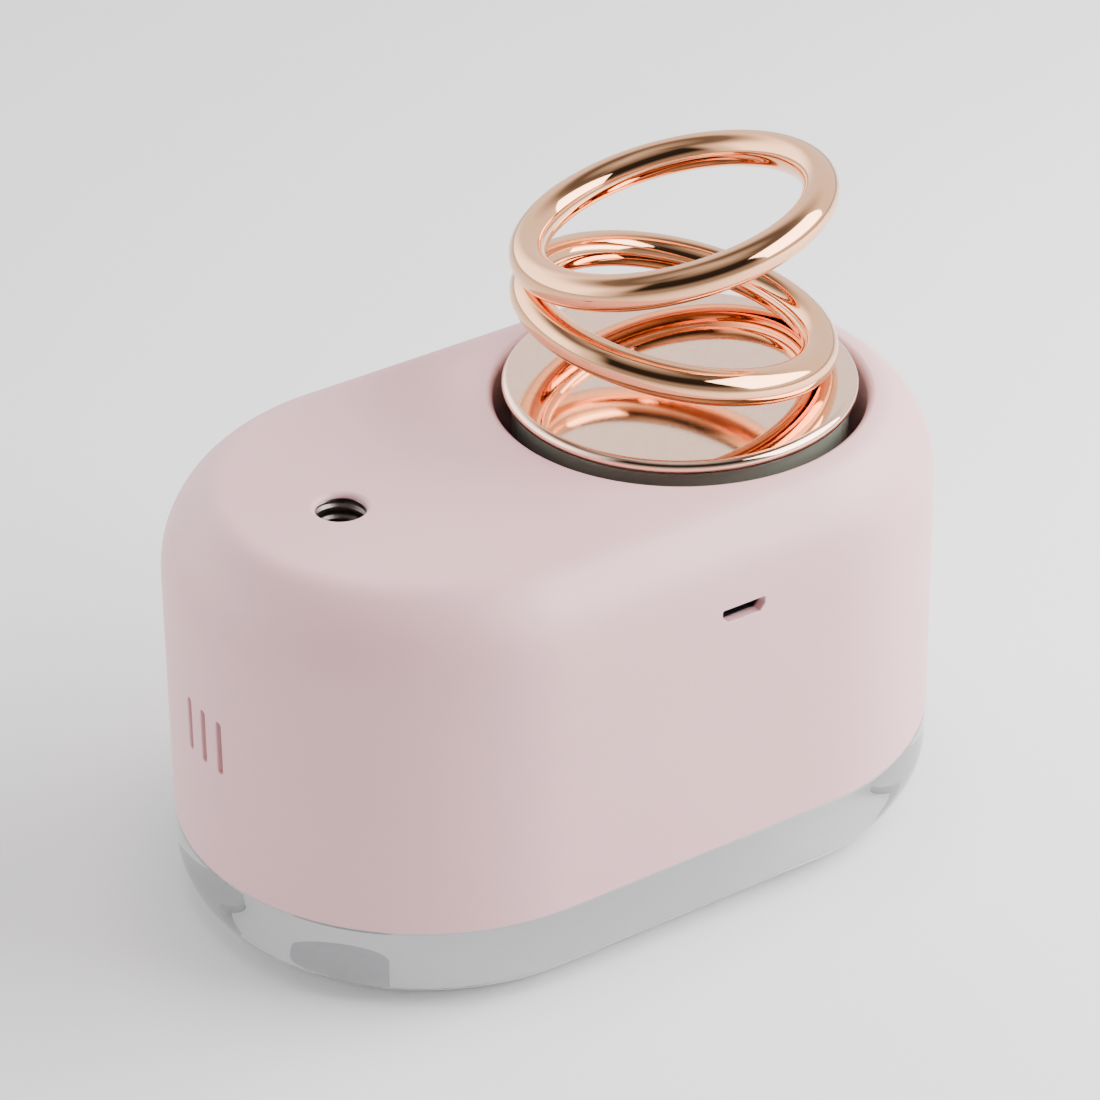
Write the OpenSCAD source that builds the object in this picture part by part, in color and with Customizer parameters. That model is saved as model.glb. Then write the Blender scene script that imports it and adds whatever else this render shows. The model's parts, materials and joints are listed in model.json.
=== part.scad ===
// Tabletop aroma diffuser: a pill-shaped shell on a clear lit base, with a mist
// nozzle at one end and, at the other, a glass scent jar that stands on a slowly
// turning table. The jar's lid carries two tilted metal rings.
// Millimetres. The origin is the middle of the footprint on the table, +X points
// to the jar end, +Z points up.

/* [Body] */
// Overall length of the body
body_length = 128; // [120:1:140]
// Overall width of the body
body_width = 80; // [78:1:84]
// Height of the shell's flat top
shell_top = 70; // [68:0.5:74]
// Height of the joint between the shell and the clear base
joint_height = 14; // [13:0.5:15]
// Thickness of the shell's side wall
shell_wall = 2.4; // [2:0.1:3]
// Width of the rounding along the shell's top edge
top_round_width = 10; // [9:0.5:11]
// Height of the rounding along the shell's top edge
top_round_height = 14; // [12:0.5:15]
// Tight radius where that rounding meets the flat top
top_round_radius = 6; // [4:0.5:7]

/* [Well and jar] */
// Radius of the well that the jar stands in
well_radius = 29.2; // [29:0.1:29.4]
// Radius of the rounded lip around the well
well_lip = 1.4; // [0.8:0.1:1.4]
// Outer radius of the glass jar
jar_radius = 26.4; // [26:0.1:26.5]
// Thickness of the jar's wall
jar_wall = 2.3; // [2:0.1:3]
// Radius of the lid's disc
disc_radius = 27.8; // [27.2:0.1:28]
// Thickness of the lid's disc
disc_thickness = 2.3; // [2:0.1:2.6]
// Height of the lid's top face
disc_top = 72.5; // [72.5:0.1:74]

/* [Rings] */
// Radius of each ring, to the middle of its tube
ring_radius = 23.25; // [22:0.05:23.5]
// Radius of the ring's tube
ring_tube = 2.9; // [2.6:0.1:3.1]
// Tilt of the lower ring
lower_tilt = 12.8; // [8:0.1:16]
// Direction of the lower ring's lowest point, from +X
lower_direction = -19; // [-40:1:10]
// Tilt of the upper ring
upper_tilt = 13.9; // [8:0.1:16]
// Direction of the upper ring's lowest point, from +X
upper_direction = 136; // [130:1:146]
// Height of the upper ring's centre above the lower ring's
upper_rise = 16.05; // [16:0.05:16.2]

/* [Nozzle and socket] */
// Distance of the nozzle from the middle of the body
nozzle_offset = 38.4; // [36:0.1:40]
// Bore radius of the metal nozzle insert
nozzle_bore = 3.8; // [3.6:0.1:3.8]
// Position of the charging slot along the body
slot_x = 7.3; // [4:0.1:10]
// Height of the charging slot's middle
slot_z = 55.6; // [50:0.1:58]
// Width of the charging slot
slot_width = 7.8; // [7.6:0.1:8.4]
// Height of the charging slot
slot_height = 2.3; // [2.1:0.1:2.6]

/* [Drive] */
// Tooth size of the two gears
gear_module = 0.6; // [0.6:0.1:0.6]
// Teeth on the spindle's gear
driven_teeth = 45; // [45:1:45]
// Teeth on the motor's pinion
pinion_teeth = 15; // [15:1:15]
// Radius of the spindle
spindle_radius = 2; // [1.8:0.1:2.2]
// Running clearance of the spindle in its bushes, per side
running_gap = 0.05; // [0.03:0.01:0.08]

/* [Hidden] */
$fn = 96;
end_radius = body_width / 2;
end_x = body_length / 2 - end_radius;

// Heights, from the table up
foot_height = 2;
base_bottom = 0.8;
lamp_pocket_floor = 10.9;
diffuser_top = 12;
led_board_bottom = 13;
lamp_height = 0.8;
film_thickness = 0.3;
chassis_top = joint_height + 2.2;
well_floor_bottom = 33;
well_floor_top = 35.5;
gear_bottom = 28;
gear_height = 3;
table_bottom = 36.7;
table_floor = 38.4;
jar_bottom = 39.25;
jar_rim = disc_top - disc_thickness - 0.1;

// Shell
top_thickness = 2.6;
inner_radius = end_radius - shell_wall;
collar_radius = well_radius + 1.8;
liner_top = shell_top - top_thickness;
boss_radius = 3.4;
boss_y = 27;
pilot_radius = 1.25;
screw_radius = 1.4;
screw_clearance = 1.7;
screw_head = 1.3;
pilot_top = chassis_top + 14;
side_boss_top = 56;
slot_wall = 1.5;
vent_z = 38.5;

// Clear base
lamp_pocket_radius = end_radius - 7;
base_round_width = 5;
base_round_height = 8;
base_round_radius = 3;
foot_x = 47.6;
foot_y = 13.1;
foot_radius = 7.2;

// Drive
driven_pitch = gear_module * driven_teeth / 2;
pinion_pitch = gear_module * pinion_teeth / 2;
motor_x = end_x - driven_pitch - pinion_pitch;
motor_radius = 8;
motor_top = 25.4;
motor_post_y = 13;
bush_radius = 3.5;

// Mist unit
nozzle_x = -nozzle_offset;
throat_radius = 3.9;
nozzle_lip = 0.9;
insert_top = shell_top - nozzle_lip;
insert_bottom = 60;
insert_radius = 5.1;
nozzle_seat_radius = 8;
tank_radius = 19.5;
tank_top = 50;
tank_bottom = chassis_top + 0.1;
atomiser_radius = 8;
atomiser_z = 58;
gasket_height = 1.4;
wick_radius = 3;

// Electronics
board_x = 43;
board_z = 19.4;
board_size = [22, 40, 1.6];
board_post = [8.5, 17];
battery_x = -11.4;
battery_size = [6.4, 40, 33];
button_z = 40;
button_radius = 4.6;
button_board_y = 29.5;

// Rings: centres of the two rings
weld = 0.1;
lower_centre = [end_x + 1.6, 3.8,
                disc_top + ring_tube - weld + ring_radius * sin(lower_tilt)];
upper_centre = lower_centre + [0.9, 1.6, upper_rise];

// ---- Outlines ----

// Corner of two arcs, from the side wall at [a, 0] to the flat at [0, b]. The
// arc next to the flat has radius r, and the arc next to the wall is wider.
function corner(a, b, r, steps = 10) =
    let (wide = (a * a + b * b - 2 * b * r) / (2 * (a - r)),
         split = atan2(b - r, wide - a))
    concat([for (i = [0:steps]) let (t = split * i / steps)
                [a - wide + wide * cos(t), wide * sin(t)]],
           [for (i = [1:steps]) let (t = split + (90 - split) * i / steps)
                [r * cos(t), b - r + r * sin(t)]]);

// Half of a pill's section, from the middle out to radius, rounded at the top
module topped_section(radius, bottom, top, a, b, r)
    polygon(concat([[0, bottom], [radius, bottom]],
                   [for (p = corner(a, b, r)) [radius - a + p[0], top - b + p[1]]],
                   [[0, top]]));

// The same, rounded at the bottom
module footed_section(radius, bottom, top, a, b, r)
    polygon(concat([[0, top], [radius, top]],
                   [for (p = corner(a, b, r)) [radius - a + p[0], bottom + b - p[1]]],
                   [[0, bottom]]));

// A pill whose section from the middle out is the child outline
module pill() {
    for (side = [-1, 1])
        translate([side * end_x, 0, 0])
            rotate([0, 0, side * -90])
                rotate_extrude(angle = 180)
                    children();
    for (side = [0, 1])
        mirror([0, side, 0])
            translate([-end_x, 0, 0])
                rotate([90, 0, 90])
                    linear_extrude(2 * end_x)
                        children();
}

module plain_pill(radius, bottom, top)
    pill() translate([0, bottom]) square([radius, top - bottom]);

module at_both(x, y)
    for (sx = [-1, 1], sy = [-1, 1])
        translate([sx * x, sy * y, 0]) children();

module tube(outer, inner, bottom, top)
    translate([0, 0, bottom])
        difference() {
            cylinder(r = outer, h = top - bottom);
            translate([0, 0, -1]) cylinder(r = inner, h = top - bottom + 2);
        }

module rod(radius, bottom, top)
    translate([0, 0, bottom]) cylinder(r = radius, h = top - bottom);

module block(low, high)
    translate(low) cube(high - low);

// ---- Housing ----

// Opening whose mouth flares out in a rounded lip at the shell's top
module lipped_hole(radius, lip, bottom)
    rotate_extrude()
        polygon(concat([[0, bottom], [radius, bottom]],
                       [for (i = [0:8]) let (t = 180 - 90 * i / 8)
                            [radius + lip + lip * cos(t), shell_top - lip + lip * sin(t)]],
                       [[radius + lip, shell_top + 1], [0, shell_top + 1]]));

// Outline of the charging slot: straight above, cut corners below
module slot_outline(grow = 0)
    polygon([[-slot_width / 2 - grow, slot_height / 2 + grow],
             [slot_width / 2 + grow, slot_height / 2 + grow],
             [slot_width / 2 + grow, -grow],
             [slot_width / 2 - 1 + grow / 2, -slot_height / 2 - grow],
             [-slot_width / 2 + 1 - grow / 2, -slot_height / 2 - grow],
             [-slot_width / 2 - grow, -grow]]);

module shell_solid() {
    difference() {
        pill() topped_section(end_radius, joint_height, shell_top, top_round_width,
                              top_round_height, top_round_radius);
        pill() topped_section(inner_radius, joint_height - 1, shell_top - top_thickness,
                              top_round_width - 2, top_round_height - 2,
                              top_round_radius - 2);
    }
    // Seat of the nozzle insert
    translate([nozzle_x, 0, 0]) rod(nozzle_seat_radius, insert_bottom, shell_top - 1);
    // Screw bosses on ribs along the side walls
    for (sy = [-1, 1]) {
        translate([-end_x, sy * boss_y, 0])
            rod(boss_radius, chassis_top, side_boss_top);
        block([-end_x - 1, min(sy * boss_y, sy * (inner_radius + 1)), chassis_top],
              [-end_x + 1, max(sy * boss_y, sy * (inner_radius + 1)), side_boss_top]);
    }
    // Ledges under the charging socket's board
    for (sx = [-1, 1])
        block([slot_x + sx * 6.9 - 1.1, -inner_radius - 0.5, 44],
              [slot_x + sx * 6.9 + 1.1, -31.2, slot_z - 2.65]);
    // Ribs that hold the button's board
    for (sx = [-1, 1])
        block([sx * 8 - 1, button_board_y + 1.4, button_z - 7],
              [sx * 8 + 1, inner_radius + 0.5, button_z + 7]);
}

module shell() color([0.86, 0.78, 0.78])
    difference() {
        shell_solid();
        translate([end_x, 0, 0]) lipped_hole(well_radius, well_lip, liner_top - 1);
        translate([nozzle_x, 0, 0]) {
            lipped_hole(throat_radius, nozzle_lip, insert_bottom - 1);
            rod(insert_radius, insert_bottom - 1, insert_top);
        }
        for (sy = [-1, 1])
            translate([-end_x, sy * boss_y, 0]) rod(pilot_radius, chassis_top - 1, pilot_top);
        translate([slot_x, -inner_radius + 1, slot_z])
            rotate([90, 0, 0]) linear_extrude(4) slot_outline();
        // Thinner wall in front of the charging socket
        block([slot_x - 4.7, -end_radius + slot_wall, slot_z - 2.1],
              [slot_x + 4.7, -inner_radius + 0.5, slot_z + 2.1]);
        translate([0, inner_radius - 1, button_z])
            rotate([-90, 0, 0]) cylinder(r = button_radius + 0.3, h = 4);
        // Three short vent slots in the nozzle end
        for (i = [-1:1])
            translate([-end_x, 0, 0])
                rotate([0, 0, 180 + 6 * i])
                    translate([inner_radius - 1.5, 0, vent_z])
                        rotate([90, 0, 90])
                            linear_extrude(5) {
                                translate([-0.6, -4]) square([1.2, 8]);
                                for (sz = [-1, 1])
                                    translate([0, sz * 4]) circle(r = 0.6);
                            }
    }

// Cup bonded under the shell's top plate: the well's wall and floor, with the two
// screw bosses that stand under it
module well_liner() color([0.86, 0.78, 0.78])
    translate([end_x, 0, 0])
        difference() {
            union() {
                rotate_extrude()
                    polygon([[0, well_floor_bottom], [collar_radius, well_floor_bottom],
                             [collar_radius, liner_top - 0.8],
                             [collar_radius - 0.8, liner_top], [0, liner_top]]);
                for (sy = [-1, 1])
                    translate([0, sy * boss_y, 0])
                        rod(boss_radius, chassis_top, well_floor_top - 1);
            }
            rod(well_radius, well_floor_top, liner_top + 1);
            rod(bush_radius, well_floor_bottom - 1, well_floor_top + 1);
            for (sy = [-1, 1])
                translate([0, sy * boss_y, 0]) rod(pilot_radius, chassis_top - 1, pilot_top);
        }

// Solid clear slab, bonded under the chassis and the shell's edge, with a shallow
// pocket for the lamps in its top
module clear_base() color([0.85, 0.88, 0.9, 0.4])
    difference() {
        pill() footed_section(end_radius, base_bottom, joint_height, base_round_width,
                              base_round_height, base_round_radius);
        plain_pill(lamp_pocket_radius, lamp_pocket_floor, joint_height + 1);
        at_both(foot_x, foot_y) rod(foot_radius + 0.1, 0, foot_height);
    }

// White film under the slab
module base_reflector() color([0.95, 0.95, 0.95])
    difference() {
        plain_pill(end_radius - base_round_width - 0.1, base_bottom - film_thickness,
                   base_bottom);
        at_both(foot_x, foot_y) rod(foot_radius + 0.1, 0, foot_height);
    }

module rubber_feet() color([0.55, 0.55, 0.55])
    at_both(foot_x, foot_y)
        rotate_extrude()
            polygon([[0, 0], [foot_radius - 0.6, 0], [foot_radius, 0.6],
                     [foot_radius, foot_height], [0, foot_height]]);

// Screws up through the chassis, with their heads in the lamp pocket
module chassis_screws() color("silver")
    at_both(end_x, boss_y)
        difference() {
            union() {
                rod(2.7, joint_height - screw_head, joint_height);
                rod(screw_radius, joint_height - 0.1, 25);
            }
            translate([-0.4, -1.8, joint_height - screw_head - 1]) cube([0.8, 3.6, 1.7]);
            translate([-1.8, -0.4, joint_height - screw_head - 1]) cube([3.6, 0.8, 1.7]);
        }

// Frosted tray that lies in the lamp pocket
module light_diffuser() color([0.95, 0.95, 0.95])
    difference() {
        plain_pill(lamp_pocket_radius - 0.3, lamp_pocket_floor + 0.1, joint_height - 0.1);
        plain_pill(lamp_pocket_radius - 1.5, diffuser_top, joint_height);
    }

// Ring-shaped board under the chassis, with its lamps facing down
module led_board() color([0.9, 0.9, 0.88])
    difference() {
        plain_pill(31, led_board_bottom, joint_height);
        plain_pill(20, led_board_bottom - 1, joint_height + 1);
        at_both(end_x, boss_y) rod(3.2, led_board_bottom - 1, joint_height + 1);
    }

module leds() color([1, 0.95, 0.75])
    for (side = [-1, 1]) {
        for (i = [-1:1])
            translate([i * 12 - 1.75, side * 24 - 1.4, led_board_bottom - lamp_height])
                cube([3.5, 2.8, lamp_height]);
        for (a = [-60:40:60])
            translate([side * end_x, 0, led_board_bottom - lamp_height])
                rotate([0, 0, a + (side < 0 ? 180 : 0)])
                    translate([22.6, -1.75, 0]) cube([2.8, 3.5, lamp_height]);
    }

// ---- Chassis and what stands on it ----

module chassis() color([0.93, 0.93, 0.91])
    difference() {
        union() {
            plain_pill(inner_radius - 0.3, joint_height, chassis_top);
            translate([end_x, 0, 0]) rod(6, chassis_top - 1, 21);
            for (sy = [-1, 1])
                translate([motor_x, sy * motor_post_y, 0]) rod(2.8, chassis_top - 1, motor_top);
            translate([motor_x, 0, 0]) tube(motor_radius + 1.3, motor_radius + 0.1,
                                            chassis_top - 1, chassis_top + 2);
            translate([nozzle_x, 0, 0]) tube(tank_radius + 1.4, tank_radius + 0.1,
                                             chassis_top - 1, chassis_top + 3);
            // Cradle of the battery
            difference() {
                block([battery_x - 4.4, -21.2, chassis_top - 1], [battery_x + 4.4, 21.2, 22]);
                block([battery_x - 3.4, -20.2, chassis_top], [battery_x + 3.4, 20.2, 23]);
            }
            translate([board_x, 0, 0])
                at_both(board_post[0], board_post[1]) rod(2.2, chassis_top - 1, board_z);
        }
        translate([end_x, 0, 0]) rod(bush_radius, 17, 22);
        at_both(end_x, boss_y) rod(screw_clearance, joint_height - 1, chassis_top + 1);
        for (sy = [-1, 1])
            translate([motor_x, sy * motor_post_y, 0]) rod(0.8, chassis_top, motor_top + 1);
        translate([board_x, 0, 0])
            at_both(board_post[0], board_post[1]) rod(0.8, chassis_top - 1, board_z + 1);
        // Hole for the lamp board's wires
        translate([-2, 22, 0]) rod(2.5, joint_height - 1, chassis_top + 1);
    }

module battery() color([0.35, 0.45, 0.6])
    block([battery_x - battery_size[0] / 2, -battery_size[1] / 2, chassis_top + 0.1],
          [battery_x + battery_size[0] / 2, battery_size[1] / 2,
           chassis_top + 0.1 + battery_size[2]]);

module main_board() color([0.1, 0.4, 0.25])
    translate([board_x, 0, board_z])
        difference() {
            translate([-board_size[0] / 2, -board_size[1] / 2, 0]) cube(board_size);
            at_both(board_post[0], board_post[1]) rod(1.1, -1, 3);
        }

module board_parts() color([0.15, 0.15, 0.15])
    translate([board_x, 0, board_z + board_size[2]]) {
        // Processor, coil, two capacitors and three plugs
        block([-4, -4, 0], [4, 4, 1.2]);
        translate([0, 9.5, 0]) cylinder(r = 3.2, h = 3.4);
        for (sx = [-1, 1])
            translate([sx * 3.2, -9, 0]) cylinder(r = 1.9, h = 4.2);
        for (i = [-1:1])
            block([-9.6, i * 10 - 3, 0], [-5.8, i * 10 + 3, 3.6]);
    }

module board_screws() color("silver")
    translate([board_x, 0, board_z + board_size[2]])
        at_both(board_post[0], board_post[1]) {
            cylinder(r = 1.9, h = 1.2);
            rod(0.85, -5, 0.5);
        }

module usb_board() color([0.1, 0.4, 0.25])
    block([slot_x - 8, -inner_radius + 0.2, slot_z - 2.65],
          [slot_x + 8, -31, slot_z - 1.45]);

module usb_socket() color([0.75, 0.75, 0.75])
    translate([slot_x, -end_radius + slot_wall + 0.1, slot_z])
        difference() {
            translate([0, 5.6, 0]) rotate([90, 0, 0]) linear_extrude(5.6) slot_outline(0.3);
            translate([0, 5.1, 0]) rotate([90, 0, 0]) linear_extrude(6) slot_outline(-0.15);
        }

module usb_tongue() color([0.1, 0.1, 0.1])
    block([slot_x - 1.9, -end_radius + slot_wall + 1, slot_z + 0.1],
          [slot_x + 1.9, -end_radius + slot_wall + 5.2, slot_z + 0.7]);

module motor() color([0.7, 0.7, 0.72])
    translate([motor_x, 0, 0])
        difference() {
            union() {
                rod(motor_radius, chassis_top + 0.1, motor_top);
                rod(2.5, motor_top - 1, motor_top + 1.4);
            }
            rod(1 + running_gap, chassis_top + 1.5, motor_top + 2);
        }

module motor_bracket() color([0.6, 0.6, 0.62])
    translate([motor_x, 0, motor_top])
        difference() {
            hull()
                for (sy = [-1, 1])
                    translate([0, sy * motor_post_y, 0]) cylinder(r = 3.6, h = 1.2);
            rod(2.6, -1, 3);
            for (sy = [-1, 1])
                translate([0, sy * motor_post_y, 0]) rod(1.1, -1, 3);
        }

module motor_screws() color("silver")
    for (sy = [-1, 1])
        translate([motor_x, sy * motor_post_y, motor_top + 1.2]) {
            cylinder(r = 2, h = 1.2);
            rod(0.85, -7, 0.5);
        }

module upper_bush() color([0.72, 0.55, 0.3])
    translate([end_x, 0, 0])
        difference() {
            union() {
                rod(bush_radius - 0.02, well_floor_bottom - 0.8, well_floor_top + 0.5);
                rod(5, well_floor_bottom - 0.8, well_floor_bottom);
            }
            rod(spindle_radius + running_gap, 30, 40);
        }

module lower_bush() color([0.72, 0.55, 0.3])
    translate([end_x, 0, 0])
        tube(bush_radius - 0.02, spindle_radius + running_gap, 17, 21.4);

// ---- Mist unit ----

module nozzle_insert() color([0.45, 0.43, 0.4])
    translate([nozzle_x, 0, 0])
        tube(insert_radius - 0.02, nozzle_bore, insert_bottom, insert_top);

module atomiser_disc() color([0.8, 0.65, 0.4])
    translate([nozzle_x, 0, 0]) {
        tube(atomiser_radius, 4, atomiser_z, atomiser_z + 0.6);
        rod(4, atomiser_z + 0.2, atomiser_z + 0.4);
    }

module atomiser_gaskets() color([0.9, 0.9, 0.88])
    translate([nozzle_x, 0, 0]) {
        tube(atomiser_radius, 5, atomiser_z - gasket_height, atomiser_z);
        tube(atomiser_radius, 5, atomiser_z + 0.6, insert_bottom);
    }

module atomiser_holder() color([0.92, 0.92, 0.9])
    translate([nozzle_x, 0, 0])
        difference() {
            union() {
                rod(10, tank_top, insert_bottom - 0.2);
                rod(14, tank_top, tank_top + 2);
                rod(8, tank_top - 5, tank_top + 1);
            }
            rod(atomiser_radius + 0.05, atomiser_z - gasket_height, insert_bottom + 1);
            rod(4, tank_top - 6, insert_bottom);
        }

module tank() color([0.85, 0.9, 0.93, 0.6])
    translate([nozzle_x, 0, 0])
        difference() {
            rod(tank_radius, tank_bottom, tank_top);
            rod(tank_radius - 1.5, tank_bottom + 1.5, tank_top - 1.5);
            rod(9.5, tank_top - 2, tank_top + 1);
        }

module tank_seal() color([0.9, 0.9, 0.88])
    translate([nozzle_x, 0, 0]) tube(9.45, 8.02, tank_top - 3.4, tank_top - 0.4);

module wick() color([0.97, 0.96, 0.93])
    translate([nozzle_x, 0, 0]) rod(wick_radius, tank_bottom + 1.8, atomiser_z + 0.15);

module wick_tube() color([0.9, 0.92, 0.93])
    translate([nozzle_x, 0, 0]) tube(3.95, wick_radius + 0.05, tank_bottom + 4, atomiser_z - 2);

// ---- Power button ----

module along_y(y)
    translate([0, y, button_z]) rotate([-90, 0, 0]) children();

module power_button() color([0.86, 0.78, 0.78])
    along_y(0) {
        rotate_extrude()
            polygon([[0, inner_radius - 1.8], [5.6, inner_radius - 1.8],
                     [5.6, inner_radius - 0.6], [button_radius, inner_radius - 0.6],
                     [button_radius, end_radius - 0.5], [button_radius - 0.4, end_radius - 0.1],
                     [0, end_radius - 0.1]]);
    }

module switch_plunger() color([0.1, 0.1, 0.1])
    along_y(0) rod(1.6, button_board_y + 3.4, inner_radius - 1.8);

module button_switch() color([0.2, 0.2, 0.2])
    difference() {
        block([-3, button_board_y + 1.4, button_z - 3], [3, button_board_y + 4.9, button_z + 3]);
        along_y(0) rod(1.7, button_board_y + 2.4, button_board_y + 6);
    }

module button_board() color([0.1, 0.4, 0.25])
    block([-9, button_board_y, button_z - 7], [9, button_board_y + 1.4, button_z + 7]);

// ---- Turning table and its drive ----

function involute(a) = tan(a) - a * PI / 180;

// Half of a tooth's angle at one radius, for 20 degree teeth with a little play
function tooth_half(teeth, r) =
    let (pitch = gear_module * teeth / 2,
         base = pitch * cos(20),
         play = 0.06 / pitch * 180 / PI)
    90 / teeth - play + (involute(20) - involute(acos(min(1, base / r)))) * 180 / PI;

module gear_outline(teeth) {
    pitch = gear_module * teeth / 2;
    root = pitch - 1.3 * gear_module;
    tip = pitch + 0.95 * gear_module;
    start = max(root, pitch * cos(20));
    radii = [for (i = [0:3]) start + (tip - start) * i / 3];
    root_half = tooth_half(teeth, start);
    polygon([for (i = [0:teeth - 1]) let (middle = 360 * i / teeth)
                 for (p = concat([[root, -root_half]],
                                 [for (r = radii) [r, -tooth_half(teeth, r)]],
                                 [for (j = [3:-1:0]) [radii[j], tooth_half(teeth, radii[j])]],
                                 [[root, root_half]]))
                     p[0] * [cos(middle + p[1]), sin(middle + p[1])]]);
}

module spindle() color([0.75, 0.75, 0.77])
    translate([end_x, 0, 0]) rod(spindle_radius, 17.3, table_floor);

module thrust_washer() color([0.85, 0.85, 0.8])
    translate([end_x, 0, 0])
        tube(4.6, spindle_radius + 0.02, well_floor_top + 0.6, table_bottom);

module turntable() color([0.93, 0.93, 0.92])
    translate([end_x, 0, 0])
        difference() {
            rotate_extrude()
                polygon([[0, table_bottom], [jar_radius + 1.8, table_bottom],
                         [jar_radius + 1.8, 43.4], [jar_radius + 1.2, 44],
                         [jar_radius + 0.3, 44], [jar_radius + 0.3, table_floor],
                         [0, table_floor]]);
            rod(spindle_radius - 0.01, 30, 45);
        }

module grip_pad() color([0.4, 0.4, 0.42])
    translate([end_x, 0, 0]) tube(26, 12, table_floor, jar_bottom - 0.05);

module driven_gear() color([0.93, 0.9, 0.82])
    translate([end_x, 0, 0])
        difference() {
            union() {
                translate([0, 0, gear_bottom])
                    linear_extrude(gear_height) gear_outline(driven_teeth);
                rod(4.5, 24, gear_bottom + gear_height + 0.6);
            }
            for (a = [0:60:300])
                rotate([0, 0, a]) translate([8.5, 0, 0]) rod(2, gear_bottom - 1, 33);
            rod(spindle_radius - 0.01, 20, 34);
        }

module motor_shaft() color([0.75, 0.75, 0.77])
    translate([motor_x, 0, 0]) rod(1, chassis_top + 1.7, gear_bottom + gear_height + 0.4);

module pinion() color([0.93, 0.9, 0.82])
    translate([motor_x, 0, 0])
        difference() {
            translate([0, 0, gear_bottom - 0.4])
                linear_extrude(gear_height + 0.8) gear_outline(pinion_teeth);
            rod(0.99, 20, 34);
        }

// ---- Jar, lid and rings ----

module glass_jar() color([0.7, 0.8, 0.75, 0.4])
    translate([end_x, 0, 0])
        rotate_extrude()
            polygon(concat([[0, jar_bottom], [jar_radius - 2.5, jar_bottom]],
                           [for (a = [-75:15:0])
                                [jar_radius - 2.5 + 2.5 * cos(a), jar_bottom + 2.5 + 2.5 * sin(a)]],
                           [[jar_radius, jar_rim - 0.6], [jar_radius - 0.6, jar_rim],
                            [jar_radius - jar_wall + 0.6, jar_rim],
                            [jar_radius - jar_wall, jar_rim - 0.6],
                            [jar_radius - jar_wall, jar_bottom + 5]],
                           [[jar_radius - jar_wall - 2, jar_bottom + 3], [0, jar_bottom + 3]]));

module scent_stone() color([0.93, 0.9, 0.86])
    translate([end_x, 0, 0])
        rotate_extrude()
            polygon([[0, jar_bottom + 3.1], [18, jar_bottom + 3.1], [19, jar_bottom + 4.1],
                     [19, jar_bottom + 12], [18, jar_bottom + 13], [0, jar_bottom + 13]]);

// Disc with a rounded rim
module lid_disc() color([0.85, 0.68, 0.58])
    translate([end_x, 0, disc_top - disc_thickness / 2])
        rotate_extrude()
            polygon(concat([[0, -disc_thickness / 2]],
                           [for (i = [0:10]) let (t = -90 + 18 * i, r = disc_thickness / 2)
                                [disc_radius - r + r * cos(t), r * sin(t)]],
                           [[0, disc_thickness / 2]]));

module lid_seal() color([0.9, 0.88, 0.85])
    translate([end_x, 0, 0])
        rotate_extrude()
            polygon([[21.4, jar_rim - 4.4], [22.8, jar_rim - 4.4],
                     [jar_radius - jar_wall - 0.15, jar_rim - 3.4],
                     [jar_radius - jar_wall - 0.15, jar_rim + 0.1], [21.4, jar_rim + 0.1]]);

module ring(centre, tilt, direction)
    translate(centre)
        rotate([0, tilt, direction])
            rotate_extrude()
                translate([ring_radius, 0]) circle(r = ring_tube);

module lower_ring() color([0.85, 0.6, 0.48])
    ring(lower_centre, lower_tilt, lower_direction);

module upper_ring() color([0.85, 0.6, 0.48])
    ring(upper_centre, upper_tilt, upper_direction);

shell();
well_liner();
clear_base();
base_reflector();
chassis();
light_diffuser();
led_board();
leds();
rubber_feet();
chassis_screws();
battery();
main_board();
board_parts();
board_screws();
usb_board();
usb_socket();
usb_tongue();
motor();
motor_bracket();
motor_screws();
upper_bush();
lower_bush();
nozzle_insert();
atomiser_disc();
atomiser_gaskets();
atomiser_holder();
tank();
tank_seal();
wick();
wick_tube();
button_board();
button_switch();
power_button();
switch_plunger();
spindle();
thrust_washer();
turntable();
grip_pad();
driven_gear();
motor_shaft();
pinion();
glass_jar();
scent_stone();
lid_disc();
lid_seal();
lower_ring();
upper_ring();
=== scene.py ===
"""Looks of the aroma diffuser: its casings, metal and glass as smooth meshes round the CAD frame."""
import json
import math

import bmesh
import bpy
from mathutils import Matrix, Vector


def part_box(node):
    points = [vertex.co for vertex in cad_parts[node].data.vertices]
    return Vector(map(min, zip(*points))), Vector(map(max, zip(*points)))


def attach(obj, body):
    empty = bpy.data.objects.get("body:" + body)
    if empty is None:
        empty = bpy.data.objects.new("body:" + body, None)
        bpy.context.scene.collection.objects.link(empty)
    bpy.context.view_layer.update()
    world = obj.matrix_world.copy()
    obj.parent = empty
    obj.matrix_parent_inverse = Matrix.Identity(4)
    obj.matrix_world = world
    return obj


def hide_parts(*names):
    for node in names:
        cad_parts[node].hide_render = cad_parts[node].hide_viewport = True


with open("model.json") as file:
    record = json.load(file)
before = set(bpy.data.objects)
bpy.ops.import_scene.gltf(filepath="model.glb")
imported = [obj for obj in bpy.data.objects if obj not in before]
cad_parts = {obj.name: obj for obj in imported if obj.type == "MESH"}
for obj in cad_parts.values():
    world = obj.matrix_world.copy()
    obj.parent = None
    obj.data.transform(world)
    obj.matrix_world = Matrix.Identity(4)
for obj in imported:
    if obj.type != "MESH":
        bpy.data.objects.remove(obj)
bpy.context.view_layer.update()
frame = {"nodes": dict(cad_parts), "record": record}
MM = 0.001

# ---------------------------------------------------------------- sizes, in millimetres, from the frame


def box_mm(node):
    """Lowest and highest corner of a CAD node, in millimetres."""
    low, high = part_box(node)
    return low / MM, high / MM


def middle(node):
    low, high = box_mm(node)
    return (low + high) / 2


def round_box(node):
    """Radius, lowest z and highest z of a round upright CAD node."""
    low, high = box_mm(node)
    return (high.x - low.x) / 2, low.z, high.z


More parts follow.
